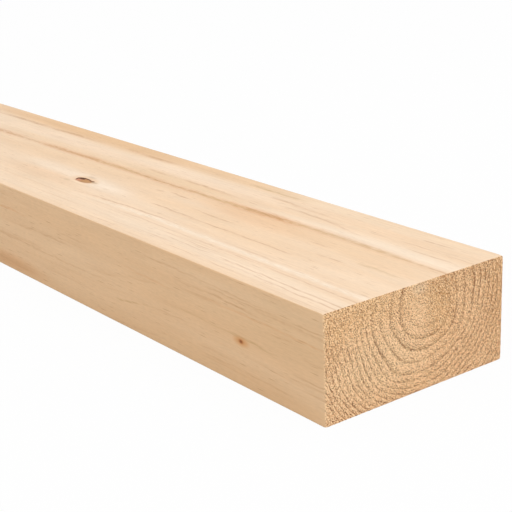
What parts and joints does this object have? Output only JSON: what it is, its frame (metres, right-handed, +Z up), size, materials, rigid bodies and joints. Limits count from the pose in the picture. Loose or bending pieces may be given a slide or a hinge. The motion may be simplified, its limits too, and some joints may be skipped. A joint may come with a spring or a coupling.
{
  "type": "timber plank",
  "caption": "Straight length of planed softwood in rectangular section, with lightly eased long edges and square sawn ends.",
  "frame": {"origin": "middle of the bottom wide face", "axes": "+X along the grain, towards the end nearer the knot; +Y across the width; +Z up through the thickness"},
  "size_m": [1.8, 0.095, 0.045],
  "materials": {
    "planed_softwood": "planed, unfinished"
  },
  "bodies": {
    "root": {"plank": "planed_softwood"}
  },
  "joints": []
}
